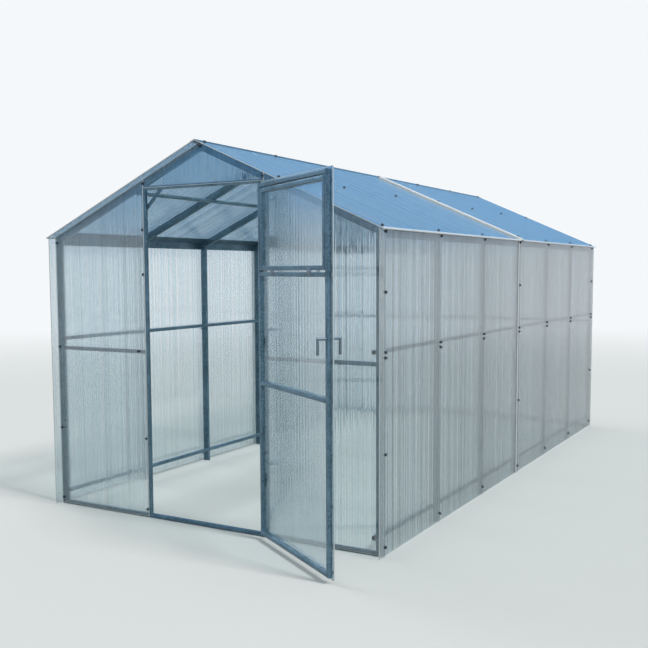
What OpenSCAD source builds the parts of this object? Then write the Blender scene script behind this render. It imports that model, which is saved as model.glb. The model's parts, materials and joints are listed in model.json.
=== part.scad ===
// Gable greenhouse of galvanised steel tube, clad in 4 mm twin-wall polycarbonate,
// with one side-hung door that stands open and a vent window in the door's top.
// The origin is the centre of the front sill's underside: X to the right along the
// front gable, Y towards the rear gable, Z up. Everything is in millimetres.

/* [Overall] */
// Width over the steel of the side walls
frame_w = 2000; // [1600:10:3200]
// Length over the steel of the end arches
frame_len = 3900; // [2400:10:7200]
// Height of the walls at the eaves
eave_h = 1485; // [1300:5:2200]
// Height of the steel at the ridge
ridge_h = 1930; // [1800:5:2900]
// Number of bays between arches
bays = 6; // [4:1:10]

/* [Steel tube] */
// Depth of the arch tube, in the plane of the arch
arch_d = 40; // [30:1:60]
// Thickness of the arch tube, along the building
arch_t = 20; // [15:1:30]
// Side of the square tube of rails, jambs and door
tube = 20; // [15:1:30]
// Height of the side base rails above the ground
base_rail_z = 70; // [40:5:150]
// Height of the side mid rails above the ground
mid_rail_z = 920; // [600:5:1100]
// Height of the gable mid rails above the ground
gable_rail_z = 867; // [600:1:1000]
// Side of the square tube of the roof purlins
purlin_t = 16; // [12:1:30]
// Distance of each roof purlin outside the end of the doorway's head bar
purlin_out = 16; // [14:1:200]

/* [Eave angle and ridge cap] */
// Leg of the eave angle down the wall
eave_wall_leg = 45; // [30:1:80]
// Leg of the eave angle up the roof
eave_roof_leg = 65; // [30:1:100]
// Thickness of the folded eave angle
eave_angle_t = 2; // [1:0.5:4]
// Width of each flange of the ridge cap
ridge_flange = 28; // [20:1:60]
// Thickness of the folded ridge cap
ridge_cap_t = 1.5; // [1:0.5:4]

/* [Cladding] */
// Thickness of the twin-wall sheet
sheet_t = 4; // [3:0.5:10]
// Length that the side and roof sheets stand out past the end arches
sheet_overhang = 50; // [20:5:120]
// Length that the roof sheets stand out past the side walls
eave_overhang = 20; // [5:1:60]
// Width of the lap where two sheets meet on the middle arch
sheet_lap = 40; // [20:5:100]
// Height of the sheets' lower edges above the ground
sheet_z = 5; // [2:1:40]
// Length by which the gable sheets lap onto the door jambs
gable_lap = 8; // [5:1:9]

/* [Doorway] */
// Clear width between the door jambs
doorway_w = 717; // [600:1:900]
// Drop of the jambs' tops below the place where they would meet the rafters
head_drop = 7; // [2:1:120]
// Height and width of the corner that the brace spans at the doorway's top
brace_reach = 99; // [60:1:200]
// Width of the flat brace
brace_w = 20; // [12:1:40]
// Thickness of the flat brace
brace_t = 3; // [2:0.5:10]

/* [Door] */
// Gap between the door's frame and each jamb
side_gap = 6; // [5:1:20]
// Gap between the door's frame and the sill below it
sill_gap = 6; // [5:1:20]
// Gap between the door's frame and the head bar above it
head_gap = 7; // [5:1:20]
// Distance that the door's frame stands forward of the jambs' faces
door_proud = 6; // [5:1:15]
// Length by which the door's sheet stands out past the free stile
lock_lap = 12; // [8:1:14]
// Length by which the door's sheet stands out past the top and bottom rails
end_lap = 10; // [5:1:12]
// Length by which the door's sheet stands out past the hinge stile
hinge_lap = 2; // [0:1:3]
// Height of the door's mid rail above the ground
door_mid_z = 755; // [500:5:900]
// Height of the door's transom above the ground
transom_z = 1270; // [1000:5:1400]
// Angle at which the door stands open
door_open = 147; // [90:1:158]

/* [Vent window] */
// Gap between the vent's frame and the transom below it
vent_sill_gap = 8; // [4:1:15]
// Gap between the vent's frame and the door's stiles and top rail
vent_gap = 5; // [3:1:12]
// Width of one vent hinge
vent_hinge_w = 36; // [20:1:60]
// Height of one vent hinge's two leaves
vent_hinge_h = 32; // [20:1:50]
// Distance of each vent hinge from the vent's own edge
vent_hinge_inset = 120; // [40:5:200]

/* [Door hinges] */
// Distance of the hinge axis from the door's frame
hinge_off = 14; // [13:1:16]
// Distance of the hinge axis in front of the door's sheet
hinge_front = 4; // [4:1:8]
// Radius of the hinge knuckles
knuckle_r = 5; // [4:0.5:5]
// Radius of the hinge pins
pin_r = 2.5; // [1.5:0.5:3]
// Height of one knuckle
knuckle_h = 30; // [20:1:60]
// Thickness of the hinge leaves
leaf_t = 2; // [1.5:0.5:3]
// Length of the door's hinge leaf
leaf_len = 34; // [25:1:60]
// Heights of the hinges above the ground
hinge_z = [280, 950, 1560]; // [100:10:1650]

/* [Latch] */
// Diameter of the bent rod
latch_d = 12; // [8:1:14]
// Radial clearance of the rod where it passes through the door's sheet
latch_clear = 1; // [0.5:0.1:2]
// Height of the rod's axis above the ground
latch_z = 1020; // [850:5:1150]
// Distance from the stile or the sheet to the middle of each hanging lever
latch_reach = 40; // [30:1:70]
// Length of the hanging levers
latch_drop = 66; // [50:1:100]

/* [Hidden] */
$fn = 48;

STEEL = "lightsteelblue";
STEEL_DARK = "slategray";
CLADDING = "powderblue";

// Arches
half_w = frame_w / 2;
slope = atan((ridge_h - eave_h) / half_w);
pitch = tan(slope);
arch_dv = arch_d / cos(slope);
soffit_apex = ridge_h - arch_dv;
cap_x = ridge_flange * cos(slope);
eave_x = half_w + eave_overhang;
front_y = -arch_t / 2;
rear_y = frame_len - arch_t / 2;
arch_gap = (frame_len - arch_t) / bays;
lap_arch_y = floor(bays / 2) * arch_gap;

// Doorway and door, with the door shut
opening_x = doorway_w / 2;
jamb_x = opening_x + tube;
head_z = soffit_z(jamb_x) - head_drop;
head_top = head_z + tube;
purlin_x = soffit_x(head_z) + purlin_out;
door_x = opening_x - side_gap;
door_bottom = tube + sill_gap;
door_top = head_z - head_gap;
door_front_y = front_y - door_proud;
door_sheet_y = door_front_y - sheet_t;
hinge_x = door_x + hinge_off;
hinge_y = door_sheet_y - hinge_front;
vent_x = door_x - tube - vent_gap;
vent_bottom = transom_z + tube + vent_sill_gap;
vent_top = door_top - tube - vent_gap;
sheet_split_z = transom_z + tube / 2;
lock_x = tube / 2 - door_x;

// Running clearances: under each moving knuckle, and around a pin or the latch's rod
run_gap = 1;
pin_clear = 0.1;

// Gap left under each sloping sheet and under the ridge cap, so that none cuts into the next
seat_gap = 0.02;

// Height of the arches' outer line at a distance from the centre line
function roof_z(x) = ridge_h - pitch * x;

// Height of the rafters' underside at a distance from the centre line
function soffit_z(x) = soffit_apex - pitch * x;

// Distance from the centre line at which the rafters' underside has a height
function soffit_x(z) = (soffit_apex - z) / pitch;

// A prism along Y with its section drawn in X and Z
module along_y(points, from, to) {
    translate([0, to, 0])
        rotate([90, 0, 0])
            linear_extrude(to - from)
                polygon(points);
}

// A box between two corners
module block(low, high) {
    translate(low)
        cube(high - low);
}

// Puts a right-hand piece on the left
module on_left() {
    mirror([1, 0, 0])
        children();
}

// Repeats a piece at every arch
module at_arches() {
    for (i = [0:bays])
        translate([0, i * arch_gap, 0])
            children();
}

// Turns the door's pieces from shut to the angle at which it stands
module on_door() {
    translate([hinge_x, hinge_y, 0])
        rotate([0, 0, door_open])
            translate([-hinge_x, -hinge_y, 0])
                children();
}

// ---- steel frame ----

module sill(y) {
    color(STEEL)
        block([arch_d - half_w, y, 0], [half_w - arch_d, y + tube, tube]);
}

module front_sill() {
    sill(front_y);
}

module rear_sill() {
    sill(rear_y - tube);
}

module right_posts() {
    inner_x = half_w - arch_d;
    color(STEEL)
        at_arches()
            along_y([[half_w, 0], [half_w, eave_h], [inner_x, soffit_z(inner_x)], [inner_x, 0]],
                    -arch_t / 2, arch_t / 2);
}

module left_posts() {
    on_left()
        right_posts();
}

module right_rafters() {
    inner_x = half_w - arch_d;
    color(STEEL)
        at_arches()
            along_y([[half_w, eave_h], [0, ridge_h], [0, soffit_apex], [inner_x, soffit_z(inner_x)]],
                    -arch_t / 2, arch_t / 2);
}

module left_rafters() {
    on_left()
        right_rafters();
}

module side_rail(z) {
    color(STEEL)
        block([half_w - arch_d - tube, front_y, z], [half_w - arch_d, rear_y, z + tube]);
}

module right_base_rail() {
    side_rail(base_rail_z);
}

module left_base_rail() {
    on_left()
        side_rail(base_rail_z);
}

module right_mid_rail() {
    side_rail(mid_rail_z);
}

module left_mid_rail() {
    on_left()
        side_rail(mid_rail_z);
}

module right_roof_purlin() {
    color(STEEL)
        translate([purlin_x, 0, soffit_z(purlin_x)])
            rotate([0, slope, 0])
                block([-purlin_t / 2, front_y, -purlin_t], [purlin_t / 2, rear_y, 0]);
}

module left_roof_purlin() {
    on_left()
        right_roof_purlin();
}

// Folded angle between each pair of arches, flush with their outer faces
module right_eave_angle() {
    leg_x = half_w - eave_roof_leg * cos(slope);
    in_x = half_w - eave_angle_t;
    in_dv = eave_angle_t / cos(slope);
    color(STEEL)
        for (i = [0:bays - 1])
            along_y([[half_w, eave_h - eave_wall_leg], [half_w, eave_h], [leg_x, roof_z(leg_x)],
                     [leg_x, roof_z(leg_x) - in_dv], [in_x, roof_z(in_x) - in_dv],
                     [in_x, eave_h - eave_wall_leg]],
                    i * arch_gap + arch_t / 2, (i + 1) * arch_gap - arch_t / 2);
}

module left_eave_angle() {
    on_left()
        right_eave_angle();
}

module right_door_jamb() {
    color(STEEL)
        block([opening_x, front_y, tube], [jamb_x, front_y + tube, head_z]);
}

module left_door_jamb() {
    on_left()
        right_door_jamb();
}

module door_head_bar() {
    low_x = soffit_x(head_z);
    high_x = soffit_x(head_top);
    color(STEEL_DARK)
        along_y([[-low_x, head_z], [low_x, head_z], [high_x, head_top], [-high_x, head_top]],
                front_y, front_y + tube);
}

// Lies behind the jamb and the head bar, clear of the shut door
module head_corner_brace() {
    cut = brace_w * sqrt(2);
    low_z = head_z - brace_reach - tube;
    end_x = brace_reach + tube - opening_x;
    color(STEEL_DARK)
        along_y([[-jamb_x, low_z], [end_x, head_top], [end_x - cut, head_top], [-jamb_x, low_z + cut]],
                front_y + tube, front_y + tube + brace_t);
}

module gable_rail(from, to, y) {
    color(STEEL)
        block([from, y, gable_rail_z], [to, y + tube, gable_rail_z + tube]);
}

module front_gable_rails() {
    gable_rail(jamb_x, half_w - arch_d, front_y);
    gable_rail(arch_d - half_w, -jamb_x, front_y);
}

module rear_gable_studs() {
    color(STEEL)
        for (side = [0, 1])
            mirror([side, 0, 0])
                along_y([[opening_x, tube], [jamb_x, tube], [jamb_x, soffit_z(jamb_x)],
                         [opening_x, soffit_z(opening_x)]],
                        rear_y - tube, rear_y);
}

module rear_gable_rails() {
    y = rear_y - tube;
    gable_rail(jamb_x, half_w - arch_d, y);
    gable_rail(-opening_x, opening_x, y);
    gable_rail(arch_d - half_w, -jamb_x, y);
}

// ---- cladding ----

// Section of a side wall's sheet between two distances outside the posts
function wall_section(low, high) =
    [[half_w + low, sheet_z], [half_w + high, sheet_z],
     [half_w + high, roof_z(half_w + high)], [half_w + low, roof_z(half_w + low)]];

// Section of a roof slope's sheet between two heights above the rafters, from near the ridge
// to the eave
function roof_section(low, high, from_x, to_x) =
    [[from_x, roof_z(from_x) + low / cos(slope)],
     [to_x + low * sin(slope), roof_z(to_x) + low * cos(slope)],
     [to_x + high * sin(slope), roof_z(to_x) + high * cos(slope)],
     [from_x, roof_z(from_x) + high / cos(slope)]];

// The front sheet steps outwards at its rear edge to lap over the rear sheet
module lapped_front(flat, step, raised) {
    seam_y = lap_arch_y - sheet_lap / 2;
    color(CLADDING)
        union() {
            along_y(flat, front_y - sheet_overhang, seam_y);
            along_y(step, seam_y - sheet_t, seam_y);
            along_y(raised, seam_y - sheet_t, seam_y + sheet_lap);
        }
}

module plain_rear(flat) {
    color(CLADDING)
        along_y(flat, lap_arch_y - sheet_lap / 2, rear_y + sheet_overhang);
}

module right_wall_sheet_front() {
    top = 2 * sheet_t;
    lapped_front(wall_section(0, sheet_t), wall_section(0, top), wall_section(sheet_t, top));
}

module right_wall_sheet_rear() {
    plain_rear(wall_section(0, sheet_t));
}

module left_wall_sheet_front() {
    on_left()
        right_wall_sheet_front();
}

module left_wall_sheet_rear() {
    on_left()
        right_wall_sheet_rear();
}

module right_roof_sheet_front() {
    layer = seat_gap + sheet_t;
    mid = seat_gap + sheet_t / 2;
    lapped_front(roof_section(seat_gap, layer, 0, eave_x),
                 roof_section(mid, layer + mid, cap_x + sheet_t, eave_x - sheet_t),
                 roof_section(layer + seat_gap, 2 * layer, cap_x, eave_x));
}

module right_roof_sheet_rear() {
    plain_rear(roof_section(seat_gap, seat_gap + sheet_t, 0, eave_x));
}

module left_roof_sheet_front() {
    on_left()
        right_roof_sheet_front();
}

module left_roof_sheet_rear() {
    on_left()
        right_roof_sheet_rear();
}

module front_gable_sheet_right() {
    edge_x = jamb_x - gable_lap;
    color(CLADDING)
        along_y([[edge_x, sheet_z], [half_w, sheet_z], [half_w, eave_h], [edge_x, roof_z(edge_x)]],
                front_y - sheet_t, front_y);
}

module front_gable_sheet_left() {
    on_left()
        front_gable_sheet_right();
}

module front_gable_sheet_top() {
    edge_x = jamb_x - gable_lap;
    edge_z = head_z + tube / 2;
    color(CLADDING)
        along_y([[-edge_x, edge_z], [edge_x, edge_z], [edge_x, roof_z(edge_x)], [0, ridge_h],
                 [-edge_x, roof_z(edge_x)]],
                front_y - sheet_t, front_y);
}

module rear_gable_sheet() {
    color(CLADDING)
        along_y([[-half_w, sheet_z], [half_w, sheet_z], [half_w, eave_h], [0, ridge_h],
                 [-half_w, eave_h]],
                rear_y, rear_y + sheet_t);
}

// Folded strip on top of the roof sheets
module ridge_cap() {
    low = (sheet_t + 2 * seat_gap) / cos(slope);
    high = low + ridge_cap_t / cos(slope);
    color(STEEL_DARK)
        along_y([[-cap_x, roof_z(cap_x) + low], [0, ridge_h + low], [cap_x, roof_z(cap_x) + low],
                 [cap_x, roof_z(cap_x) + high], [0, ridge_h + high], [-cap_x, roof_z(cap_x) + high]],
                front_y - sheet_overhang, rear_y + sheet_overhang);
}

// ---- door, drawn shut and then turned open ----

module door_stile(x) {
    block([x, door_front_y, door_bottom], [x + tube, door_front_y + tube, door_top]);
}

module latch_hole(clear) {
    translate([lock_x, 0, latch_z])
        rotate([90, 0, 0])
            cylinder(d = latch_d + 2 * clear, h = 4 * tube, center = true);
}

module door_stiles() {
    color(STEEL)
        on_door()
            difference() {
                union() {
                    door_stile(-door_x);
                    door_stile(door_x - tube);
                }
                latch_hole(pin_clear);
            }
}

module door_rails() {
    color(STEEL)
        on_door()
            for (z = [door_bottom, door_mid_z, transom_z, door_top - tube])
                block([tube - door_x, door_front_y, z],
                      [door_x - tube, door_front_y + tube, z + tube]);
}

module door_cladding(from, to) {
    block([-door_x - lock_lap, door_sheet_y, from], [door_x + hinge_lap, door_front_y, to]);
}

module door_sheet() {
    color(CLADDING)
        on_door()
            difference() {
                door_cladding(door_bottom - end_lap, sheet_split_z);
                latch_hole(latch_clear);
            }
}

module vent_stiles() {
    color(STEEL)
        on_door()
            for (x = [-vent_x, vent_x - tube])
                block([x, door_front_y, vent_bottom], [x + tube, door_front_y + tube, vent_top]);
}

module vent_rails() {
    color(STEEL)
        on_door()
            for (z = [vent_bottom, vent_top - tube])
                block([tube - vent_x, door_front_y, z],
                      [vent_x - tube, door_front_y + tube, z + tube]);
}

module vent_sheet() {
    color(CLADDING)
        on_door()
            door_cladding(sheet_split_z, door_top + end_lap);
}

// Two small butt hinges across the joint between the transom and the vent
module vent_hinges() {
    face_y = door_front_y + tube;
    joint_z = (transom_z + tube + vent_bottom) / 2;
    color(STEEL_DARK)
        on_door()
            for (x = [vent_hinge_inset - vent_x, vent_x - vent_hinge_inset - vent_hinge_w]) {
                block([x, face_y, joint_z - vent_hinge_h / 2],
                      [x + vent_hinge_w, face_y + leaf_t, joint_z + vent_hinge_h / 2]);
                translate([x, face_y + leaf_t, joint_z])
                    rotate([0, 90, 0])
                        cylinder(d = 2 * leaf_t, h = vent_hinge_w);
            }
}

// Fixed halves of the hinges: a knuckle with its pin, a web and a leaf on the jamb's face
module door_hinge_brackets() {
    color(STEEL_DARK)
        for (z = hinge_z)
            union() {
                translate([hinge_x, hinge_y, z - knuckle_h])
                    cylinder(r = knuckle_r, h = knuckle_h);
                translate([hinge_x, hinge_y, z])
                    cylinder(r = pin_r, h = run_gap + knuckle_h);
                block([hinge_x - leaf_t / 2, hinge_y, z - knuckle_h],
                      [hinge_x + leaf_t / 2, front_y, z]);
                block([opening_x, front_y - leaf_t, z - knuckle_h],
                      [jamb_x - gable_lap, front_y, z]);
            }
}

// Moving halves of the hinges: a bored knuckle and a leaf on the door's sheet
module door_hinge_leaves() {
    color(STEEL_DARK)
        on_door()
            for (z = hinge_z)
                translate([hinge_x, 0, z + run_gap])
                    difference() {
                        union() {
                            translate([0, hinge_y, 0])
                                cylinder(r = knuckle_r, h = knuckle_h);
                            block([-leaf_len - hinge_off, door_sheet_y - leaf_t, 0],
                                  [0, door_sheet_y, knuckle_h]);
                        }
                        translate([0, hinge_y, -run_gap])
                            cylinder(r = pin_r + pin_clear, h = knuckle_h + 2 * run_gap);
                    }
}

// A rod through the free stile, bent down into a lever on each side of the door
module door_latch() {
    front = door_sheet_y - latch_reach;
    back = door_front_y + tube + latch_reach;
    color(STEEL)
        on_door()
            translate([lock_x, 0, latch_z])
                union() {
                    translate([0, back, 0])
                        rotate([90, 0, 0])
                            cylinder(d = latch_d, h = back - front);
                    for (y = [front, back])
                        translate([0, y, 0]) {
                            sphere(d = latch_d);
                            translate([0, 0, -latch_drop])
                                cylinder(d = latch_d, h = latch_drop);
                        }
                }
}

front_sill();
rear_sill();
left_posts();
right_posts();
left_rafters();
right_rafters();
left_base_rail();
right_base_rail();
left_mid_rail();
right_mid_rail();
left_roof_purlin();
right_roof_purlin();
left_eave_angle();
right_eave_angle();
left_door_jamb();
right_door_jamb();
door_head_bar();
head_corner_brace();
front_gable_rails();
rear_gable_studs();
rear_gable_rails();
left_wall_sheet_front();
left_wall_sheet_rear();
right_wall_sheet_front();
right_wall_sheet_rear();
left_roof_sheet_front();
left_roof_sheet_rear();
right_roof_sheet_front();
right_roof_sheet_rear();
front_gable_sheet_left();
front_gable_sheet_right();
front_gable_sheet_top();
rear_gable_sheet();
ridge_cap();
door_hinge_brackets();
door_stiles();
door_rails();
door_sheet();
door_hinge_leaves();
vent_stiles();
vent_rails();
vent_sheet();
vent_hinges();
door_latch();
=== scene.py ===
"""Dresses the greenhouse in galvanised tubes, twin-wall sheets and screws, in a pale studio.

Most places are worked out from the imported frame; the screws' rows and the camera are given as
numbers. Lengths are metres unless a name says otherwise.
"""

from __future__ import annotations

import json
import logging
import math
from contextlib import contextmanager
from dataclasses import dataclass, field
from enum import Enum
from functools import partial
from typing import Any, Callable, Iterable, Iterator, Sequence

import bmesh
import bpy
from mathutils import Matrix, Vector

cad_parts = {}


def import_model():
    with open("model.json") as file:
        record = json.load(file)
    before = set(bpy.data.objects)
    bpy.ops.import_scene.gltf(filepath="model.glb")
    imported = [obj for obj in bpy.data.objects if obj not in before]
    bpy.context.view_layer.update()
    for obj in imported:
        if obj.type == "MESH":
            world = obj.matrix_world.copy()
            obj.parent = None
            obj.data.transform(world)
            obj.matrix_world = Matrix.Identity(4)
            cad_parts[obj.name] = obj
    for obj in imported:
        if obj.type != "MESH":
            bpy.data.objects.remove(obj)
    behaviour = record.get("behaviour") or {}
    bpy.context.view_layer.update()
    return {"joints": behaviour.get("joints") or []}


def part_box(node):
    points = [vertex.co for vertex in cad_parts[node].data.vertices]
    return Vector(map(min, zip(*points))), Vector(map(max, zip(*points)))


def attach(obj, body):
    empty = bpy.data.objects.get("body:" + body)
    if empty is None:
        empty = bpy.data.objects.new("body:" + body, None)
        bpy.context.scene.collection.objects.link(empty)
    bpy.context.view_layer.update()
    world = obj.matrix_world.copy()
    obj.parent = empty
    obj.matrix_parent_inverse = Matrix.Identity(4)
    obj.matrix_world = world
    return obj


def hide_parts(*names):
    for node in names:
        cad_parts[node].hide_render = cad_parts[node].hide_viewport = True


LOG = logging.getLogger("greenhouse")
MM = 0.001
TINY = 0.001 * MM
CURVE = math.radians(40)  # faces that meet at less than this are shaded as one curve
FACING = 0.99  # cosine above which a face counts as facing a direction
NEARLY_ALL = 0.9  # share of a length above which an edge counts as running all along it
UP = Vector((0, 0, 1))
REARWARD = Vector((0, 1, 0))

Piece = bpy.types.Object
Material = bpy.types.Material
Socket = bpy.types.NodeSocket
Rows = tuple[float, ...]
Span = tuple[float, float]
Triple = tuple[float, float, float]
Plane = tuple[Vector, float]  # its normal, and its distance from the origin
Spots = list[tuple[Vector, Vector]]  # places, each with the direction that it looks


class Side(Enum):
    """A side of the building, as the sign of X."""

    LEFT = -1
    RIGHT = 1

    @property
    def word(self) -> str:
        """The side's name as the frame's nodes spell it."""
        return self.name.lower()


class Slot(Enum):
    """Material slots of the record."""

    STEEL = "galvanised_steel"
    PLATED = "zinc_plated_steel"
    SHEET = "polycarbonate"


# ---- node helpers


def linear(hex_colour: str) -> tuple[float, float, float, float]:
    """Turns an sRGB hex colour to linear values.

    Args:
        hex_colour: Six hex digits with a leading hash.

    Returns:
        Red, green, blue and alpha, as a shader socket takes them.
    """
    digits = hex_colour.lstrip("#")
    srgb = [int(digits[i : i + 2], 16) / 255 for i in (0, 2, 4)]
    rgb = [c / 12.92 if c <= 0.04045 else ((c + 0.055) / 1.055) ** 2.4 for c in srgb]
    return (rgb[0], rgb[1], rgb[2], 1.0)


class Graph:
    """The node tree of a material or a world, with a short way to add each kind of node."""

    def __init__(self, owner: Material | bpy.types.World) -> None:
        """Empties the owner's node tree.

        Args:
            owner: The material or world that is built.
        """
        owner.use_nodes = True
        self.owner = owner
        self.tree = owner.node_tree
        self.tree.nodes.clear()

    def add(
        self, kind: str, inputs: dict[str | int, Any] | None = None, **settings: Any
    ) -> bpy.types.bpy_prop_collection:
        """Adds a shader node.

        Args:
            kind: The node's type, without the ShaderNode that it starts with.
            inputs: Values or sockets for its inputs, by name or number.
            settings: Attributes of the node.

        Returns:
            The new node's outputs.
        """
        node = self.tree.nodes.new(f"ShaderNode{kind}")
        for name, value in settings.items():
            setattr(node, name, value)
        for key, value in (inputs or {}).items():
            if isinstance(value, Socket):
                self.tree.links.new(value, node.inputs[key])
            else:
                node.inputs[key].default_value = value
        return node.outputs

    def place(self) -> Socket:
        """Adds the object's own coordinates.

        Returns:
            The place on the object.
        """
        return self.add("TexCoord")["Object"]

    def math(self, operation: str, *values: Any) -> Socket:
        """Adds a sum.

        Args:
            operation: The kind of sum.
            values: Its numbers or sockets, in order.

        Returns:
            The result.
        """
        return self.add("Math", dict(enumerate(values)), operation=operation)[0]

    def noise(
        self, place: Socket, size: float, detail: float = 2.0, line: bool = False
    ) -> Socket:
        """Adds smooth noise.

        Args:
            place: Where it is read.
            size: Width of its largest spots.
            detail: How many finer layers it has.
            line: Whether it runs along one line only, so that it makes streaks.

        Returns:
            A value from 0 to 1.
        """
        inputs = {"W" if line else "Vector": place, "Scale": 1 / size, "Detail": detail}
        return self.add("TexNoise", inputs, noise_dimensions="1D" if line else "3D")["Fac"]

    def spread(
        self,
        value: Socket,
        span: Span,
        to: Span = (0.0, 1.0),
        kind: str = "LINEAR",
    ) -> Socket:
        """Spreads a span of values over another.

        Args:
            value: The value.
            span: The lowest and highest value that count.
            to: What they turn to.
            kind: The curve between them.

        Returns:
            The new value.
        """
        names = ("From Min", "From Max", "To Min", "To Max")
        inputs = {"Value": value, **dict(zip(names, (*span, *to)))}
        return self.add("MapRange", inputs, interpolation_type=kind)[0]

    def blend(self, share: Any, first: str, second: str) -> Socket:
        """Blends two colours.

        Args:
            share: The second one's share.
            first: A hex colour.
            second: A hex colour.

        Returns:
            The colour.
        """
        inputs = {0: share, 6: linear(first), 7: linear(second)}
        return self.add("Mix", inputs, data_type="RGBA")[2]

    def shaded(self, colour: str, factor: Socket) -> Socket:
        """Makes a colour lighter or darker.

        Args:
            colour: A hex colour.
            factor: What it is multiplied by.

        Returns:
            The colour.
        """
        inputs = {0: linear(colour)[:3], "Scale": factor}
        return self.add("VectorMath", inputs, operation="SCALE")[0]

    def mix(self, share: Any, *shaders: Socket) -> Socket:
        """Mixes two shaders.

        Args:
            share: The second one's share.
            shaders: The two shaders.

        Returns:
            The mixed shader.
        """
        return self.add("MixShader", {0: share, 1: shaders[0], 2: shaders[1]})[0]

    def finish(self, shader: Socket) -> Material:
        """Links a shader to the material's output.

        Args:
            shader: The shader that covers the surface.

        Returns:
            The material.
        """
        self.add("OutputMaterial", {"Surface": shader})
        return self.owner


# ---- mesh helpers


def select_alone(*pieces: Piece) -> None:
    """Selects pieces and nothing else, and makes the first one active.

    Args:
        pieces: The objects.
    """
    for item in bpy.context.selected_objects:
        item.select_set(False)
    for piece in pieces:
        piece.select_set(True)
    bpy.context.view_layer.objects.active = pieces[0]


@contextmanager
def editing(piece: Piece) -> Iterator[None]:
    """Opens a piece in edit mode with everything selected, and closes it after the block.

    Args:
        piece: The object.
    """
    select_alone(piece)
    bpy.ops.object.mode_set(mode="EDIT")
    bpy.ops.mesh.select_all(action="SELECT")
    yield
    bpy.ops.object.mode_set(mode="OBJECT")


def select_where(
    piece: Piece,
    faces: Callable[[bmesh.types.BMFace], bool] | None = None,
    edges: Callable[[bmesh.types.BMEdge], bool] | None = None,
) -> int:
    """Selects faces or edges of the piece that is in edit mode.

    Args:
        piece: The active object, in edit mode.
        faces: Says of each face whether it is taken.
        edges: Says of each edge whether it is taken.

    Returns:
        How many were taken.
    """
    bpy.ops.mesh.select_mode(type="FACE" if faces else "EDGE")
    bpy.ops.mesh.select_all(action="DESELECT")
    mesh = bmesh.from_edit_mesh(piece.data)
    mesh.normal_update()
    test, items = (faces, mesh.faces) if faces else (edges, mesh.edges)
    taken = [item for item in items if test(item)]
    for item in taken:
        item.select_set(True)
    bmesh.update_edit_mesh(piece.data)
    return len(taken)


def assign_material(piece: Piece, index: int) -> None:
    """Gives the selected faces one of the piece's materials.

    Args:
        piece: The active object, in edit mode.
        index: The material's number.
    """
    piece.active_material_index = index
    bpy.ops.object.material_slot_assign()


def put_material(piece: Piece, *materials: Material) -> None:
    """Gives a piece its materials.

    Args:
        piece: The object.
        materials: One material for each slot, in order.
    """
    piece.data.materials.clear()
    for material in materials:
        piece.data.materials.append(material)


def settle(piece: Piece, name: str, body: str) -> None:
    """Names a finished piece and lets it ride on its body.

    Args:
        piece: The finished object.
        name: Its plain name.
        body: The body that it moves with.
    """
    piece.name = name
    piece.data.name = name
    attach(piece, body)
    LOG.info("%s: %d faces on %s", name, len(piece.data.polygons), body)


def copy_of(node: str) -> Piece:
    """Copies a CAD node's mesh and merges its loose triangles.

    Args:
        node: The node's name.

    Returns:
        A free object with flat faces joined, not yet on a body.
    """
    mesh = bpy.data.objects[node].data.copy()
    piece = bpy.data.objects.new(f"{node}_copy", mesh)
    bpy.context.scene.collection.objects.link(piece)
    with editing(piece):
        bpy.ops.mesh.remove_doubles(threshold=0.01 * MM)
        bpy.ops.mesh.dissolve_limited(angle_limit=math.radians(0.5))
    return piece


def block(low: Vector, high: Vector) -> Piece:
    """Adds a block between two corners.

    Args:
        low: The corner with the lowest values.
        high: The corner with the highest values.

    Returns:
        The block, with its size in its mesh.
    """
    bpy.ops.mesh.primitive_cube_add(size=1, location=(low + high) / 2, scale=high - low)
    piece = bpy.context.active_object
    select_alone(piece)
    bpy.ops.object.transform_apply(location=True, rotation=True, scale=True)
    return piece


def subtract(piece: Piece, cutter: Piece) -> None:
    """Cuts one object out of another and does away with the cutter.

    Args:
        piece: What is cut.
        cutter: What is taken away.
    """
    select_alone(piece)
    cut = piece.modifiers.new("cut", "BOOLEAN")
    cut.operation = "DIFFERENCE"
    cut.solver = "MANIFOLD"
    cut.object = cutter
    bpy.ops.object.modifier_apply(modifier=cut.name)
    bpy.data.objects.remove(cutter)


def joined_copies(pattern: Piece, places: Iterable[Matrix]) -> Piece:
    """Copies a pattern to each place and joins the copies.

    Args:
        pattern: The object that is copied.
        places: What turns the pattern into each copy.

    Returns:
        The copies as one object.
    """
    copies = []
    for place in places:
        item = bpy.data.objects.new("copy", pattern.data.copy())
        item.data.transform(place)
        if place.determinant() < 0:
            item.data.flip_normals()
        bpy.context.scene.collection.objects.link(item)
        copies.append(item)
    select_alone(*copies)
    bpy.ops.object.join()
    return copies[0]


# ---- finishes


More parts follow.
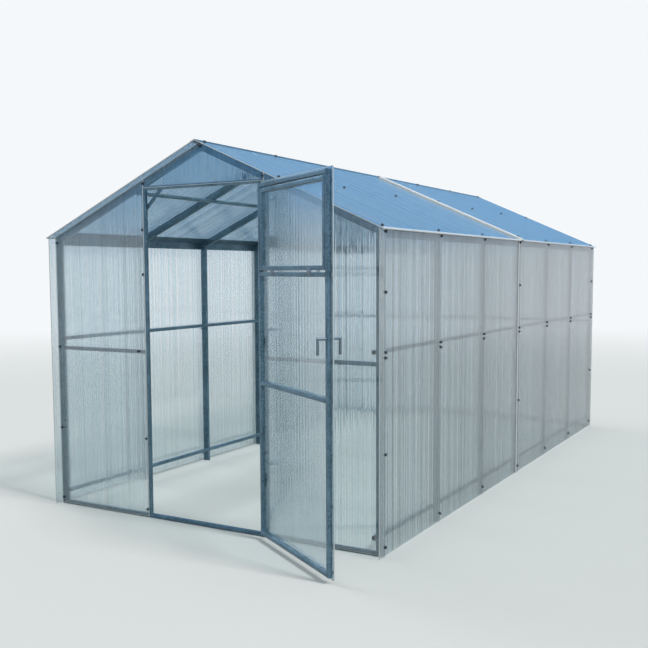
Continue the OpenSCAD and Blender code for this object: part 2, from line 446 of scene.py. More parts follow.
@dataclass(frozen=True)
class GalvanisedSteel:
    """Hot-dip galvanised tube: grey zinc with faint crystals and a dull gloss; the blue in its
    colours is painted reflection of a blue sky.
    """

    name: str = "galvanised_steel"
    # Both colours are zinc grey with a blue tint; the tint is painted sky reflection, not the
    # zinc's own colour.
    dark: str = "#466270"
    light: str = "#7090A2"
    spangle: float = 9 * MM  # real crystals are 3 to 8 mm, drawn a little coarser
    streak: float = 120 * MM
    crystal_share: float = 0.45  # how much a crystal's own shade counts beside the wide cloud
    shades: Span = (0.35, 1.05)  # the sums that are fully dark and fully light
    roughness: Span = (0.30, 0.44)
    metallic: float = 0.5

    def material(self) -> Material:
        """Builds the material.

        Returns:
            Metal whose crystals differ in shade and in gloss.
        """
        graph = Graph(bpy.data.materials.new(self.name))
        place = graph.place()
        crystals = graph.add("TexVoronoi", {"Vector": place, "Scale": 1 / self.spangle})
        crystal = graph.add("SeparateColor", {"Color": crystals["Color"]})
        # The eye sees small flat crystals, and clouds of zinc as wide as a hand over them.
        cloud = graph.noise(place, self.streak, detail=3.0)
        shade = graph.math("MULTIPLY_ADD", crystal["Red"], self.crystal_share, cloud)
        inputs = {
            "Base Color": graph.blend(graph.spread(shade, self.shades), self.dark, self.light),
            "Metallic": self.metallic,
            "Roughness": graph.spread(crystal["Green"], (0.0, 1.0), self.roughness),
        }
        return graph.finish(graph.add("BsdfPrincipled", inputs)[0])


@dataclass(frozen=True)
class PlainMetal:
    """A smooth metal part with a little unevenness in its gloss."""

    name: str
    colour: str
    roughness: float
    metallic: float = 1.0
    grain: float = 3 * MM
    mottle: Span = (0.82, 1.1)  # what the colour and the gloss are multiplied by

    def material(self) -> Material:
        """Builds the material.

        Returns:
            Metal with a fine mottle in shade and gloss.
        """
        graph = Graph(bpy.data.materials.new(self.name))
        shade = graph.spread(graph.noise(graph.place(), self.grain), (0.0, 1.0), self.mottle)
        inputs = {
            "Base Color": graph.shaded(self.colour, shade),
            "Metallic": self.metallic,
            "Roughness": graph.math("MULTIPLY", shade, self.roughness),
        }
        return graph.finish(graph.add("BsdfPrincipled", inputs)[0])


@dataclass(frozen=True)
class TwinWallSheet:
    """Clear extruded polycarbonate: glassy, faintly milky in streaks, sunk a little at its ribs."""

    name: str
    across: Triple  # square to the flutes, in the sheet
    pitch: float = 28.5 * MM  # of the sink marks: over every fifth rib one is drawn to show
    wave: float = 0.02 * MM  # depth of the sink marks
    flute: float = 5.7 * MM  # from rib to rib
    bow: float = 0.15 * MM  # the most a wall bows between two ribs, by no two ribs alike
    bulge: float = 1.0  # 1 makes each wall a row of lenses, 0 keeps its two faces parallel
    tint: tuple[str, str] = ("#EEF5F8", "#FCFEFF")
    tint_span: Span = (0.35, 0.62)  # the streaks that take each of the tints
    tint_rib: float = 0.12  # how much a sink mark adds to them
    shadow: str = "#FAFCFC"
    haze: str = "#D2E3EA"
    haze_share: Span = (0.0, 0.06)
    haze_span: Span = (0.3, 1.1)  # the streaks with the least and the most haze
    haze_rib: float = 0.45  # how much a rib adds to them
    rib_span: Span = (0.55, 0.95)  # where in a sink mark the rib starts to show
    roughness: float = 0.03
    ior: float = 1.58
    streak: float = 18 * MM

    def material(self) -> Material:
        """Builds the material.

        Returns:
            Glass with sink marks along the flutes and a light haze in streaks.
        """
        graph = Graph(bpy.data.materials.new(self.name))
        inputs = {0: graph.place(), 1: self.across}
        place = graph.add("VectorMath", inputs, operation="DOT_PRODUCT")["Value"]
        # Sink marks and bows smear sideways what stands behind, so posts fade and rails stay.
        turn = graph.math("MULTIPLY", place, 2 * math.pi / self.pitch)
        ripple = graph.math("COSINE", turn)
        bow = graph.noise(place, self.flute, detail=0.0, line=True)
        relief = graph.math("MULTIPLY_ADD", bow, self.bow / self.wave, ripple)
        # Met from inside the wall, the same face swells the other way, so both faces bend light.
        inside = graph.add("NewGeometry")["Backfacing"]
        swell = graph.math("MULTIPLY_ADD", inside, -2 * self.bulge, 1.0)
        height = graph.math("MULTIPLY", relief, swell)
        sink = graph.add("Bump", {"Strength": 1.0, "Distance": self.wave, "Height": height})[0]
        # Streaks of the extruder run along the flutes, in the tint and in the haze.
        streaks = graph.noise(place, self.streak, detail=3.0, line=True)
        rib = graph.spread(ripple, self.rib_span)
        uneven = graph.math("MULTIPLY_ADD", rib, self.haze_rib, streaks)
        haze_share = graph.spread(uneven, self.haze_span, self.haze_share)
        ribbed = graph.math("MULTIPLY_ADD", ripple, self.tint_rib, streaks)
        inputs = {
            "Base Color": graph.blend(graph.spread(ribbed, self.tint_span), *self.tint),
            "Roughness": self.roughness,
            "IOR": self.ior,
            "Transmission Weight": 1.0,
            "Normal": sink,
        }
        glass = graph.add("BsdfPrincipled", inputs)[0]
        milk = {"Color": linear(self.haze)}
        haze = graph.mix(
            0.5, graph.add("BsdfDiffuse", milk)[0], graph.add("BsdfTranslucent", milk)[0]
        )
        # Light that falls through the sheet isn't held up, so what stands inside is lit.
        passing = graph.add("BsdfTransparent", {"Color": linear(self.shadow)})[0]
        path = graph.add("LightPath")
        light_ray = graph.math("MAXIMUM", path["Is Shadow Ray"], path["Is Diffuse Ray"])
        return graph.finish(graph.mix(light_ray, graph.mix(haze_share, glass, haze), passing))


@dataclass(frozen=True)
class CutSheetEdge:
    """Sawn edge of the polycarbonate, which gathers light and shows white."""

    name: str
    clear: float
    colour: str = "#EEF5F7"
    roughness: float = 0.3
    chatter: float = 9 * MM  # length of the saw's marks
    mottle: Span = (0.85, 1.1)  # what they multiply the colour by

    def material(self) -> Material:
        """Builds the material.

        Returns:
            A milky white that lets some light through.
        """
        graph = Graph(bpy.data.materials.new(self.name))
        shade = graph.spread(graph.noise(graph.place(), self.chatter), (0.0, 1.0), self.mottle)
        inputs = {"Base Color": graph.shaded(self.colour, shade), "Roughness": self.roughness}
        milk = graph.add("BsdfPrincipled", inputs)[0]
        return graph.finish(graph.mix(self.clear, milk, graph.add("BsdfTransparent")[0]))


# ---- the building's places


@dataclass(frozen=True)
class DoorPlace:
    """Where the door's hinges stand, and how far it is open at rest."""

    hinge: Vector
    turn: float  # radians from shut

    @classmethod
    def read(cls, joints: Sequence[dict[str, Any]]) -> DoorPlace:
        """Reads the place from the door's joint, whose low limit is shut.

        Args:
            joints: The record's joints.

        Returns:
            The door's place.
        """
        swing = next(joint for joint in joints if joint["name"] == "door_swing")
        return cls(Vector(swing["pos_m"]), math.radians(-swing["range_deg"][0]))

    @property
    def along(self) -> Vector:
        """The direction from the hinges to the free stile."""
        return Vector((-math.cos(self.turn), -math.sin(self.turn), 0))

    @property
    def outward(self) -> Vector:
        """The direction that the sheet's outer face looks."""
        return Vector((math.sin(self.turn), -math.cos(self.turn), 0))


@dataclass
class Building:
    """The places of arches, walls and roof, read from the frame's nodes."""

    bays: int = 6
    half_w: float = field(init=False)
    eave_z: float = field(init=False)
    ridge_z: float = field(init=False)
    front_y: float = field(init=False)
    rear_y: float = field(init=False)
    arch_t: float = field(init=False)
    sheet_t: float = field(init=False)

    def __post_init__(self) -> None:
        """Reads the boxes of posts, rafters and sheets."""
        low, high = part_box("right_posts")
        self.half_w, self.eave_z = high.x, high.z
        self.front_y, self.rear_y = low.y, high.y
        self.arch_t = -2 * low.y
        self.ridge_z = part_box("right_rafters")[1].z
        sheet_low, sheet_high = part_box("right_wall_sheet_rear")
        self.sheet_t = sheet_high.x - sheet_low.x

    @property
    def slope(self) -> float:
        """The roof's angle from level."""
        return math.atan2(self.ridge_z - self.eave_z, self.half_w)

    @property
    def arch_ys(self) -> list[float]:
        """The middles of the arches along the building."""
        first = self.front_y + self.arch_t / 2
        step = (self.rear_y - self.front_y - self.arch_t) / self.bays
        return [first + i * step for i in range(self.bays + 1)]

    def down(self, side: Side) -> Vector:
        """The direction from the ridge down a roof slope.

        Args:
            side: Which slope.

        Returns:
            A unit vector.
        """
        return Vector((side.value * math.cos(self.slope), 0, -math.sin(self.slope)))

    def roof_normal(self, side: Side) -> Vector:
        """The outward direction of a roof slope.

        Args:
            side: Which slope.

        Returns:
            A unit vector.
        """
        return Vector((side.value * math.sin(self.slope), 0, math.cos(self.slope)))

    def on_roof(self, side: Side, x: float, y: float, above: float) -> Vector:
        """A point over the rafters' outer face.

        Args:
            side: Which slope.
            x: Distance from the middle.
            y: Place along the building.
            above: Height above the rafters, square to the slope.

        Returns:
            The point.
        """
        z = self.ridge_z - math.tan(self.slope) * x
        return Vector((side.value * x, y, z)) + self.roof_normal(side) * above


# ---- steelwork


@dataclass
class Steelwork:
    """Tubes and folded strips, dressed from their CAD solids with rounded corners."""

    steel: Material
    plated: Material
    corner: float = 2.5 * MM  # radius of a cold-formed tube's corners
    fold: float = 0.4 * MM  # radius of the edges of strip and small hardware
    wall: float = 1.2 * MM
    depth: float = 80 * MM  # how far an open tube end is hollow
    ease: float = 0.08 * MM  # keeps steel off the sheet's skin
    long_edge: float = 60 * MM

    def tube(self, node: str, body: str = "frame", ends: str = "") -> None:
        """Dresses a node of square tubes.

        Args:
            node: The CAD node.
            body: The body that it rides on.
            ends: The axis along which its ends are open, or nothing.
        """
        piece = copy_of(node)
        with editing(piece):
            bpy.ops.transform.shrink_fatten(value=-self.ease)
            select_where(piece, edges=lambda edge: edge.calc_length() > self.long_edge)
            bpy.ops.mesh.bevel(offset=self.corner, segments=3, affect="EDGES")
            if ends:
                self.open_ends(piece, "XYZ".index(ends))
        bpy.ops.object.shade_smooth_by_angle(angle=CURVE)
        put_material(piece, self.steel)
        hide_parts(node)
        settle(piece, f"tube_{node}", body)

    def open_ends(self, piece: Piece, axis: int) -> None:
        """Hollows both ends of each tube.

        In the free stile, two narrow faces of the latch's hole look the same way and are sunk too.

        Args:
            piece: The tubes, in edit mode.
            axis: The tubes' direction, 0 to 2.
        """
        for sign in (-1, 1):
            if select_where(piece, faces=lambda face: sign * face.normal[axis] > FACING):
                bpy.ops.mesh.inset(thickness=self.wall, depth=0)
                inward = [0.0, 0.0, 0.0]
                inward[axis] = -sign * self.depth
                bpy.ops.mesh.extrude_region_move(TRANSFORM_OT_translate={"value": inward})

    def strip(self, node: str, body: str = "frame", plated: bool = False) -> None:
        """Dresses a node of folded strip or small hardware.

        Args:
            node: The CAD node.
            body: The body that it rides on.
            plated: Whether it is zinc plated rather than galvanised.
        """
        piece = copy_of(node)
        with editing(piece):
            bpy.ops.transform.shrink_fatten(value=-self.ease)
        bevel = piece.modifiers.new("eased_edges", "BEVEL")
        bevel.width = self.fold
        bevel.segments = 2
        bevel.angle_limit = CURVE
        bpy.ops.object.modifier_apply(modifier=bevel.name)
        bpy.ops.object.shade_smooth_by_angle(angle=CURVE)
        put_material(piece, self.plated if plated else self.steel)
        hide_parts(node)
        settle(piece, f"strip_{node}", body)

    def build(self) -> None:
        """Dresses every steel node of the frame and the door."""
        for side in ("left", "right"):
            for run in ("base_rail", "mid_rail", "roof_purlin"):
                self.tube(f"{side}_{run}", ends="Y")
            for run in ("posts", "rafters", "door_jamb"):
                self.tube(f"{side}_{run}")
            self.strip(f"{side}_eave_angle")
        for node in ("front_sill", "rear_sill", "door_head_bar", "head_corner_brace"):
            self.tube(node)
        for node in ("front_gable_rails", "rear_gable_studs", "rear_gable_rails"):
            self.tube(node)
        self.strip("ridge_cap")
        self.strip("door_hinge_brackets", plated=True)
        self.tube("door_stiles", "door", ends="Z")
        for node in ("door_rails", "vent_stiles", "vent_rails"):
            self.tube(node, "door")
        for node in ("door_hinge_leaves", "vent_hinges"):
            self.strip(node, "door", plated=True)
        self.strip("door_latch", "latch", plated=True)


# ---- cladding


@dataclass
class Cladding:
    """The polycarbonate sheets: two skins joined by ribs, with a light border where each is cut."""

    building: Building
    door: DoorPlace
    border: float = 2.5 * MM
    roof_border: float = 6 * MM
    skin_width: float = 12 * MM  # anything wider is a skin, and anything narrower an edge
    ease: float = 0.03 * MM
    rib_pitch: float = 5.7 * MM
    rib_t: float = 0.4 * MM
    skin_t: float = 0.45 * MM
    run_out: float = 10 * MM  # how far a cutter passes the sheet's ends
    same_way: float = 0.99999  # cosine between the normals of two faces of one skin
    same_plane: float = 0.05 * MM  # how far such a face may lie off the other's plane

    def sheet(
        self,
        node: str,
        body: str,
        finishes: tuple[Material, Material],
        along: Vector = UP,
        border: float | None = None,
    ) -> None:
        """Dresses one sheet.

        Args:
            node: The CAD node.
            body: The body that it rides on.
            finishes: The clear material of its faces, and that of its cut edges.
            along: The direction of its flutes.
            border: Width of the light line along its edges.
        """
        piece = copy_of(node)
        put_material(piece, *finishes)
        bpy.ops.mesh.customdata_custom_splitnormals_clear()
        with editing(piece):
            bpy.ops.transform.shrink_fatten(value=-self.ease)
            assign_material(piece, 1)
            for plane in self.wide_planes(piece):
                select_where(piece, faces=partial(self.lies_in, plane=plane))
                bpy.ops.mesh.inset(thickness=border or self.border, depth=0)
                assign_material(piece, 0)
        self.bore_flutes(piece, along)
        bpy.ops.object.shade_flat()
        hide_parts(node)
        settle(piece, f"clear_{node}", body)

    def lies_in(self, face: bmesh.types.BMFace, plane: Plane) -> bool:
        """Tells whether a face lies in a plane and faces the same way.

        Args:
            face: A face of a sheet.
            plane: The plane.

        Returns:
            True if it does, give or take a fraction of a millimetre.
        """
        normal, distance = plane
        off = abs(normal.dot(face.verts[0].co) - distance)
        return face.normal.dot(normal) > self.same_way and off < self.same_plane

    def wide_planes(self, piece: Piece) -> list[Plane]:
        """Finds the planes of a sheet's skins, leaving out its edges.

        Args:
            piece: The sheet, in edit mode.

        Returns:
            The planes whose faces add up to a wide area.
        """
        mesh = bmesh.from_edit_mesh(piece.data)
        mesh.normal_update()
        faces = sorted(mesh.faces, key=lambda face: face.calc_area(), reverse=True)
        planes: list[Plane] = []
        areas: list[float] = []
        for face in faces:
            found = [i for i, plane in enumerate(planes) if self.lies_in(face, plane)]
            if not found:
                found = [len(planes)]
                planes.append((face.normal.copy(), face.normal.dot(face.verts[0].co)))
                areas.append(0.0)
            areas[found[0]] += face.calc_area()
        least = self.skin_width * faces[0].calc_area() ** 0.5
        return [plane for plane, area in zip(planes, areas) if area > least]

    def bore_flutes(self, piece: Piece, along: Vector) -> None:
        """Hollows a solid sheet into two skins joined by ribs, its flutes open at both ends.

        Args:
            piece: The solid sheet.
            along: The direction of the flutes.
        """
        normal = max(piece.data.polygons, key=lambda face: face.area).normal.copy()
        places = self.flute_places(piece, along, along.cross(normal).normalized(), normal)
        bpy.ops.mesh.primitive_cube_add(size=1)
        pattern = bpy.context.active_object
        cutter = joined_copies(pattern, places)
        bpy.data.objects.remove(pattern)
        put_material(cutter, *piece.data.materials)
        subtract(piece, cutter)

    def flute_places(
        self, piece: Piece, along: Vector, across: Vector, normal: Vector
    ) -> list[Matrix]:
        """Spaces flutes over a sheet's width, following the step where it laps another.

        Args:
            piece: The solid sheet.
            along: The direction of the flutes.
            across: The direction of the sheet's width.
            normal: The sheet's outward direction.

        Returns:
            For each flute, what turns a unit cube into it.
        """
        points = [vertex.co for vertex in piece.data.vertices]
        runs = [along.dot(point) for point in points]
        widths = [across.dot(point) for point in points]
        above = max(normal.dot(point) for point in points) + self.building.sheet_t
        middle = along * (min(runs) + max(runs)) / 2
        length = max(runs) - min(runs) + 2 * self.run_out
        depth = self.building.sheet_t - 2 * (self.skin_t + self.ease)
        width = self.rib_pitch - self.rib_t
        places = []
        for i in range(int((max(widths) - min(widths) - self.rib_t) / self.rib_pitch)):
            start = min(widths) + self.rib_t + i * self.rib_pitch
            heights = set()
            for edge in (start, start + width):
                hit, spot, _, _ = piece.ray_cast(middle + across * edge + normal * above, -normal)
                heights.add(round(normal.dot(spot) / self.ease) if hit else None)
            if None in heights or len(heights) > 1:
                continue
            top = heights.pop() * self.ease - self.skin_t
            centre = middle + across * (start + width / 2) + normal * (top - depth / 2)
            turn = Matrix((across * width, along * length, normal * depth)).transposed()
            places.append(Matrix.Translation(centre) @ turn.to_4x4())
        return places

    def build(self) -> None:
        """Dresses each sheet with the finish whose flutes run its way."""
        edge = CutSheetEdge("cut_sheet_edge", clear=0.3).material()
        roof_edge = CutSheetEdge("roof_sheet_edge", clear=0.0).material()
        wall = TwinWallSheet("wall_sheet", (0, 1, 0), wave=0.03 * MM, bow=0.25 * MM).material()
        roof = TwinWallSheet(
            "roof_sheet", (0, 1, 0), roughness=0.12, haze_share=(0.0, 0.45), streak=60 * MM
        ).material()
        gable = TwinWallSheet("gable_sheet", (1, 0, 0), wave=0.03 * MM, bow=0.35 * MM).material()
        width = tuple(-self.door.along)
        door = TwinWallSheet("door_sheet", width, wave=0.05 * MM, bow=0.0, bulge=0.0).material()
        for side in Side:
            down = self.building.down(side)
            for end in ("front", "rear"):
                self.sheet(f"{side.word}_wall_sheet_{end}", "frame", (wall, edge))
                node = f"{side.word}_roof_sheet_{end}"
                self.sheet(node, "frame", (roof, roof_edge), down, self.roof_border)
            self.sheet(f"front_gable_sheet_{side.word}", "frame", (gable, edge))
        for node in ("front_gable_sheet_top", "rear_gable_sheet"):
            self.sheet(node, "frame", (gable, edge))
        for node in ("door_sheet", "vent_sheet"):
            self.sheet(node, "door", (door, edge))


# ---- trim


@dataclass
class Trim:
    """White plastic: strips at the laps of roof and walls, and tape round the eave's edge."""

    building: Building
    plastic: Material
    ends_gap: float = 4 * MM  # from a strip's ends to the ridge cap and the eave
    strip_wall: float = 3 * MM
    strip_side: float = 6 * MM
    strip_crown: float = 5 * MM
    strip_ease: float = 0.8 * MM
    crown_share: float = 0.45  # width of the strip's top, as a share of its foot
    tape_w: float = 15 * MM
    tape_turn: float = 12 * MM  # how far the tape goes back below the sheet
    tape_t: float = 0.5 * MM
    bead_w: float = 9 * MM
    bead_ease: float = 1.2 * MM
    gap: float = 0.1 * MM
    clear_by: float = 1.0  # how far a cutter passes what it cuts, on its open sides

    @property
    def top(self) -> float:
        """Height of the strip's top above the rafters."""
        return self.building.sheet_t + self.gap + self.strip_side + self.strip_crown

    def finish(self, piece: Piece, name: str) -> None:
        """Shades a piece, makes it white and sets it on the frame.

        Args:
            piece: The piece, still active.
            name: Its name.
        """
        bpy.ops.object.shade_smooth_by_angle(angle=CURVE)
        put_material(piece, self.plastic)
        settle(piece, name, "frame")

    def lay(self, piece: Piece, side: Side, name: str) -> None:
        """Lays a profile on a slope.

        Args:
            piece: The profile: X runs down the slope, Y along the building and Z outwards.
            side: Which slope.
            name: The piece's name.
        """
        axes = (self.building.down(side), REARWARD, self.building.roof_normal(side))
        turn = Matrix(axes).transposed().to_4x4()
        piece.data.transform(Matrix.Translation((0, 0, self.building.ridge_z)) @ turn)
        with editing(piece):
            bpy.ops.mesh.normals_make_consistent(inside=False)
        self.finish(piece, name)

    def strip(self, run: Span, raised: Span) -> Piece:
        """Makes the crowned strip over a lap, hollow where the upper sheet lies.

        Args:
            run: Where it starts and ends down the slope.
            raised: Where the upper sheet starts and ends along the building.

        Returns:
            The strip.
        """
        foot = self.building.sheet_t + self.gap
        side = self.strip_wall + self.gap
        low = Vector((run[0], raised[0] - side, foot))
        high = Vector((run[1], raised[1] + side, foot + self.strip_side))
        crown = (0, 0, self.strip_crown)
        whole = NEARLY_ALL * (run[1] - run[0])
        piece = block(low, high)
        with editing(piece):
            select_where(piece, faces=lambda face: face.normal.z > FACING)
            bpy.ops.mesh.extrude_region_move(TRANSFORM_OT_translate={"value": crown})
            narrow = (1, self.crown_share, 1)
            bpy.ops.transform.resize(value=narrow, center_override=(low + high) / 2)
            select_where(piece, edges=lambda edge: edge.calc_length() > whole)
            bpy.ops.mesh.bevel(offset=self.strip_ease, segments=2, affect="EDGES")
        beyond = Vector((self.clear_by, 0, 0))
        inner_low = Vector((run[0], raised[0] - self.gap, 0))
        inner_high = Vector((run[1], raised[1] + self.gap, 2 * foot))
        subtract(piece, block(inner_low - beyond, inner_high + beyond))
        return piece

    def tape(self, edge: float, run: Span) -> Piece:
        """Folds a tape round a sheet's lower edge.

        Args:
            edge: The sheet's lower edge, down the slope from the ridge.
            run: Where the tape starts and ends along the building.

        Returns:
            The tape.
        """
        under, over = -self.gap, self.building.sheet_t + self.gap
        back = edge - self.tape_w
        low = Vector((back, run[0], under - self.tape_t))
        high = Vector((edge + self.gap + self.tape_t, run[1], over + self.tape_t))
        piece = block(low, high)
        beyond = REARWARD * self.clear_by
        inside = Vector((back - self.clear_by, run[0], under)) - beyond
        subtract(piece, block(inside, Vector((edge + self.gap, run[1], over)) + beyond))
        below = Vector((back - self.clear_by, run[0], under - 2 * self.tape_t)) - beyond
        subtract(piece, block(below, Vector((edge - self.tape_turn, run[1], under)) + beyond))
        return piece

    def bead(self, side: Side, foot_z: float, seam_y: float) -> None:
        """Sets a narrow strip against the raised edge of a wall's lap.

        Args:
            side: Which wall.
            foot_z: Height of the sheet's lower edge.
            seam_y: Where the upper sheet's edge stands along the building.
        """
        layer = self.building.sheet_t
        near = self.building.half_w + layer + self.gap
        xs = sorted((side.value * near, side.value * (near + layer - self.gap)))
        low = Vector((xs[0], seam_y - self.gap - self.bead_w, foot_z + self.ends_gap))
        high = Vector((xs[1], seam_y - self.gap, self.building.eave_z - self.ends_gap))
        whole = NEARLY_ALL * (high.z - low.z)
        piece = block(low, high)
        with editing(piece):
            select_where(piece, edges=lambda edge: edge.calc_length() > whole)
            bpy.ops.mesh.bevel(offset=self.bead_ease, segments=3, affect="EDGES")
        self.finish(piece, f"lap_bead_{side.word}")

    def build(self) -> None:
        """Lays a strip and two lengths of tape on each slope, and a bead on each wall."""
        cos = math.cos(self.building.slope)
        lift = math.sin(self.building.slope) * self.building.sheet_t
        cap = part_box("ridge_cap")[1].x
        for side in Side:
            front_low, front_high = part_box(f"{side.word}_roof_sheet_front")
            rear_low, rear_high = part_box(f"{side.word}_roof_sheet_rear")
            edge = (max(-rear_low.x, rear_high.x) - lift) / cos
            raised = (rear_low.y - self.building.sheet_t, front_high.y)
            run = (cap / cos + self.ends_gap, edge - self.ends_gap)
            self.lay(self.strip(run, raised), side, f"lap_strip_{side.word}")
            lengths = {"front": (front_low.y, raised[0]), "rear": (raised[1], rear_high.y)}
            for end, length in lengths.items():
                self.lay(self.tape(edge, length), side, f"eave_tape_{side.word}_{end}")
            self.bead(side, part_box(f"{side.word}_wall_sheet_front")[0].z, raised[0])


# ---- fasteners


@dataclass
class Screws:
    """Self-drilling screws with a low round head as wide as their rubber-backed washer.

    Rows are heights above the ground, and places across are measured from the middle.
    """

    building: Building
    door: DoorPlace
    metal: Material
    rubber: Material
    lap_top: float  # height above the rafters of the strip over the roof lap
    sides: int = 16
    washer_r: float = 7.0 * MM
    seal_h: float = 1.2 * MM
    washer_h: float = 0.8 * MM
    washer_taper: float = 0.3 * MM
    head_h: float = 4.2 * MM
    head_taper: float = 0.9 * MM
    tapered: float = 0.25  # share of the head's height over which it tapers
    lift: float = 0.05 * MM  # keeps a washer off the roof
    cap_lift: float = 1.6 * MM  # height of the ridge cap over the roof sheet
    eave_drop: float = 18 * MM
    rail_rows: Rows = (2 * MM, -23 * MM)  # over the middle of the wall's mid rail
    foot_row: float = 45 * MM
    extra_rows: Rows = (1.2, 0.47)  # at the corners and at the lap
    roof_xs: Rows = (0.985, 0.446)
    cap_x: float = 0.016
    corner_x: float = 0.988
    corner_rows: Rows = (1.452, 0.882, 0.43, 0.035)
    jamb_inset: float = 1 * MM
    jamb_rows: Rows = (1.508, 1.279, 0.42, 0.043)
    lone_spots: Sequence[Span] = ((0.419, 0.879), (0.367, 1.743))  # across, up
    ridge_drop: float = 24 * MM
    rear_x: float = 0.985
    rear_rows: Rows = (1.452, 0.879, 0.43, 0.035)
    stud_rows: Rows = (1.70, 1.29, 0.879, 0.43, 0.035)
    rear_middle_rows: Rows = (0.879, 0.012)
    door_face: float = 4 * MM  # from the hinges' line back to the door's sheet
    door_reaches: Rows = (27 * MM, 709 * MM)  # from the hinges' line to each stile
    door_rows: Rows = (0.045, 0.32, 0.765, 1.256, 1.31, 1.66)
    curve: float = math.radians(35)  # the head's own, as CURVE is for the rest
    pattern: Piece = field(init=False)

    def __post_init__(self) -> None:
        """Models one screw, standing on the origin."""
        middle = (0, 0, self.seal_h / 2)
        bpy.ops.mesh.primitive_cylinder_add(
            vertices=self.sides, radius=self.washer_r, depth=self.seal_h, location=middle
        )
        self.pattern = bpy.context.active_object
        put_material(self.pattern, self.rubber, self.metal)
        bpy.ops.object.transform_apply(location=True, rotation=True, scale=True)
        radius = self.washer_r
        with editing(self.pattern):
            for taper, rise in (
                (self.washer_taper, self.washer_h),
                (0.0, self.head_h * (1 - self.tapered)),
                (self.head_taper, self.head_h * self.tapered),
            ):
                select_where(self.pattern, faces=lambda face: face.normal.z > FACING)
                bpy.ops.mesh.extrude_region_move(TRANSFORM_OT_translate={"value": (0, 0, rise)})
                share = (radius - taper) / radius
                bpy.ops.transform.resize(value=(share, share, 1), center_override=(0, 0, 0))
                radius -= taper
            select_where(
                self.pattern, faces=lambda face: face.calc_center_median().z > self.seal_h + TINY
            )
            assign_material(self.pattern, 1)

    def place(self, name: str, body: str, spots: Spots) -> None:
        """Sets a group of screws as one piece.

        Args:
            name: The group's name.
            body: The body that it rides on.
            spots: Where they sit.
        """
        turns = [outward.to_track_quat("Z", "Y").to_matrix().to_4x4() for _, outward in spots]
        places = [Matrix.Translation(spot) @ turn for (spot, _), turn in zip(spots, turns)]
        piece = joined_copies(self.pattern, places)
        bpy.ops.object.shade_smooth_by_angle(angle=self.curve)
        settle(piece, name, body)

    def wall_spots(self, side: Side) -> Spots:
        """Screws through a wall's sheets into the posts.

        Args:
            side: Which wall.

        Returns:
            Places and directions.
        """
        low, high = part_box(f"{side.word}_mid_rail")
        rail = (low.z + high.z) / 2
        rows = [self.building.eave_z - self.eave_drop]
        rows += [rail + row for row in self.rail_rows] + [self.foot_row]
        ys = self.building.arch_ys
        spots = []
        for i, y in enumerate(ys):
            layers = 2 if i == len(ys) // 2 else 1
            x = self.building.half_w + layers * self.building.sheet_t
            extra = list(self.extra_rows) if i in (0, len(ys) // 2, len(ys) - 1) else []
            for z in rows + extra:
                spots.append((Vector((side.value * x, y, z)), Vector((side.value, 0, 0))))
        return spots

    def roof_spots(self, side: Side) -> Spots:
        """Screws through a roof slope's sheets into the rafters.

        Args:
            side: Which slope.

        Returns:
            Places and directions.
        """
        spots = []
        ys = self.building.arch_ys
        flat = self.building.sheet_t
        for i, y in enumerate(ys):
            above = (self.lap_top if i == len(ys) // 2 else flat) + self.lift
            places = [(x, above) for x in self.roof_xs] + [(self.cap_x, flat + self.cap_lift)]
            for x, height in places:
                spot = self.building.on_roof(side, x, y, height)
                spots.append((spot, self.building.roof_normal(side)))
        return spots

    def gable_spots(self, rear: bool) -> Spots:
        """Screws through a gable's sheets.

        Args:
            rear: Whether it is the rear gable.

        Returns:
            Places and directions.
        """
        jamb_low, jamb_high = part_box("right_door_jamb")
        top = self.building.ridge_z - self.ridge_drop
        if rear:
            stud = (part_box("rear_gable_studs")[1].x + jamb_low.x) / 2
            columns = [(self.rear_x, self.rear_rows), (stud, self.stud_rows)]
            flat = [(0.0, z) for z in (top, *self.rear_middle_rows)]
            y, outward = self.building.rear_y + self.building.sheet_t, REARWARD
        else:
            jamb = jamb_high.x - self.jamb_inset
            columns = [(self.corner_x, self.corner_rows), (jamb, self.jamb_rows)]
            columns += [(x, (z,)) for x, z in self.lone_spots]
            flat = [(0.0, top)]
            y, outward = self.building.front_y - self.building.sheet_t, -REARWARD
        flat += [(s * x, z) for x, rows in columns for s in (-1, 1) for z in rows]
        return [(Vector((x, y, z)), outward) for x, z in flat]

    def door_spots(self) -> Spots:
        """Screws through the door's sheets into its stiles, where the door stands.

        Returns:
            Places and directions.
        """
        along, outward = self.door.along, self.door.outward
        start = Vector((self.door.hinge.x, self.door.hinge.y, 0)) - outward * self.door_face
        return [
            (start + along * reach + UP * z, outward)
            for z in self.door_rows
            for reach in self.door_reaches
        ]

    def build(self) -> None:
        """Places every group of screws."""
        for side in Side:
            self.place(f"screws_{side.word}_wall", "frame", self.wall_spots(side))
            self.place(f"screws_{side.word}_roof", "frame", self.roof_spots(side))
        self.place("screws_front_gable", "frame", self.gable_spots(rear=False))
        self.place("screws_rear_gable", "frame", self.gable_spots(rear=True))
        self.place("screws_door", "door", self.door_spots())
        bpy.data.objects.remove(self.pattern)


# ---- studio


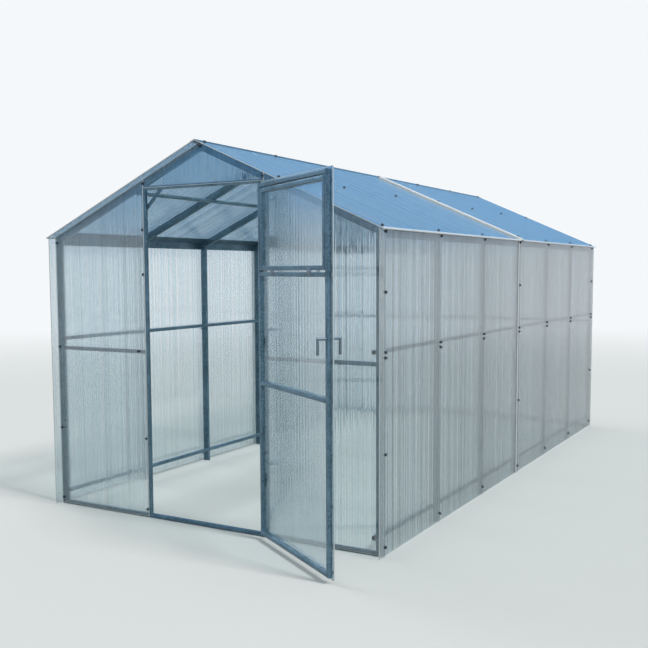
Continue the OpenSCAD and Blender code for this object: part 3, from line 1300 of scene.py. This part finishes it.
@dataclass
class Studio:
    """A pale floor, soft light and the camera."""

    floor_size: float = 80.0
    floor_at: Triple = (0.0, 2.0, -1 * MM)
    floor_colour: str = "#E4E8E8"
    floor_bounce: str = "#8E9494"  # what reaches the object from below
    floor_fade: Span = (5.0, 16.0)  # where the floor turns into the backdrop
    light_colour: str = "#EFF4F8"
    backdrop: str = "#F5F8FA"
    overhead: str = "#6EB0EA"
    blue_full: float = 0.12  # height of the heading at which the overhead colour is full
    blue_held_back: float = 0.3  # how much higher it sets in where the backdrop is seen directly
    fill: float = 0.38
    lamp_colour: Triple = (1.0, 0.985, 0.96)
    key: float = 1.8
    key_from: Triple = (0.8, -0.05, 0.95)
    key_spread: float = 12.0  # degrees across
    left: float = 1.0
    left_from: Triple = (-0.86, 0.1, 0.5)
    left_spread: float = 35.0
    camera_at: Triple = (2.720, -3.5685, 1.296)
    yaw: float = 0.5176
    pitch: float = 0.0833
    roll: float = -0.0039
    lens: float = 49.52
    shift_y: float = 0.0324
    sight: float = 200.0  # farther than the floor's edge
    bounces: int = 40  # a ray meets many skins and ribs on its way through the building
    transmission_bounces: int = 36
    transparent_bounces: int = 32

    def build(self) -> None:
        """Sets the camera, floor, world and lamps."""
        self.camera()
        self.floor()
        self.world()
        self.lamps()
        scene = bpy.context.scene
        scene.view_settings.view_transform = "Standard"
        scene.cycles.max_bounces = self.bounces
        scene.cycles.transmission_bounces = self.transmission_bounces
        scene.cycles.transparent_max_bounces = self.transparent_bounces

    def camera(self) -> None:
        """Adds the camera at the height of a standing person's chest, off the door's corner."""
        data = bpy.data.cameras.new("camera")
        data.lens = self.lens
        data.shift_y = self.shift_y
        data.clip_end = self.sight
        camera = bpy.data.objects.new("camera", data)
        bpy.context.scene.collection.objects.link(camera)
        camera.matrix_world = (
            Matrix.Translation(self.camera_at)
            @ Matrix.Rotation(self.yaw, 4, "Z")
            @ Matrix.Rotation(math.pi / 2 - self.pitch, 4, "X")
            @ Matrix.Rotation(self.roll, 4, "Z")
        )
        bpy.context.scene.camera = camera

    def floor(self) -> None:
        """Adds a wide pale floor, which fades into the backdrop far off."""
        bpy.ops.mesh.primitive_plane_add(size=self.floor_size, location=self.floor_at)
        floor = bpy.context.active_object
        floor.name = "studio_floor"
        graph = Graph(bpy.data.materials.new("studio_floor"))
        bounced = graph.add("LightPath")["Is Diffuse Ray"]
        paint = graph.blend(bounced, self.floor_colour, self.floor_bounce)
        matt = graph.add("BsdfDiffuse", {"Color": paint})[0]
        far = graph.add("Emission", {"Color": linear(self.backdrop)})[0]
        reach = graph.add("VectorMath", {0: graph.place()}, operation="LENGTH")["Value"]
        fade = graph.spread(reach, self.floor_fade, kind="SMOOTHSTEP")
        put_material(floor, graph.finish(graph.mix(fade, matt, far)))

    def world(self) -> None:
        """Sets an even light, behind a pale sweep that turns bluer overhead."""
        world = bpy.data.worlds.new("studio")
        graph = Graph(world)
        path = graph.add("LightPath")
        inputs = {"Color": linear(self.light_colour), "Strength": self.fill}
        light = graph.add("Background", inputs)[0]
        heading = graph.add("TexCoord")["Generated"]
        height = graph.add("SeparateXYZ", {0: heading})["Z"]
        direct = path["Is Camera Ray"]
        lowered = graph.math("MULTIPLY_ADD", direct, -self.blue_held_back, height)
        rise = graph.spread(lowered, (0.0, self.blue_full), kind="SMOOTHSTEP")
        sweep = graph.blend(rise, self.backdrop, self.overhead)
        seen = graph.add("Background", {"Color": sweep, "Strength": 1.0})[0]
        through = graph.math("MAXIMUM", direct, path["Is Transmission Ray"])
        any_view = graph.math("MAXIMUM", through, path["Is Glossy Ray"])
        graph.add("OutputWorld", {"Surface": graph.mix(any_view, light, seen)})
        bpy.context.scene.world = world

    def lamps(self) -> None:
        """Adds a soft key lamp from the right and a weaker one from the left."""
        for name, energy, heading, spread in (
            ("key", self.key, self.key_from, self.key_spread),
            ("left", self.left, self.left_from, self.left_spread),
        ):
            data = bpy.data.lights.new(name, "SUN")
            data.energy = energy
            data.angle = math.radians(spread)
            data.color = self.lamp_colour
            lamp = bpy.data.objects.new(name, data)
            lamp.rotation_euler = Vector(heading).to_track_quat("Z", "Y").to_euler()
            bpy.context.scene.collection.objects.link(lamp)


# ---- main


def main() -> None:
    """Builds the greenhouse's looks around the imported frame."""
    logging.basicConfig(level=logging.INFO, format="%(message)s")
    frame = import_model()
    door = DoorPlace.read(frame["joints"])
    building = Building()
    Studio().build()
    steel = GalvanisedSteel().material()
    plated = PlainMetal("zinc_plated_steel", "#76848F", 0.38, metallic=0.6).material()
    screw = PlainMetal("screw_steel", "#454B50", 0.3).material()
    rubber = PlainMetal("washer_rubber", "#24282B", 0.6, metallic=0.0).material()
    Steelwork(steel, plated).build()
    Cladding(building, door).build()
    trim = Trim(building, CutSheetEdge("white_plastic", clear=0.0, colour="#F6FAFC").material())
    trim.build()
    Screws(building, door, screw, rubber, lap_top=trim.top).build()


if __name__ == "__main__":
    main()
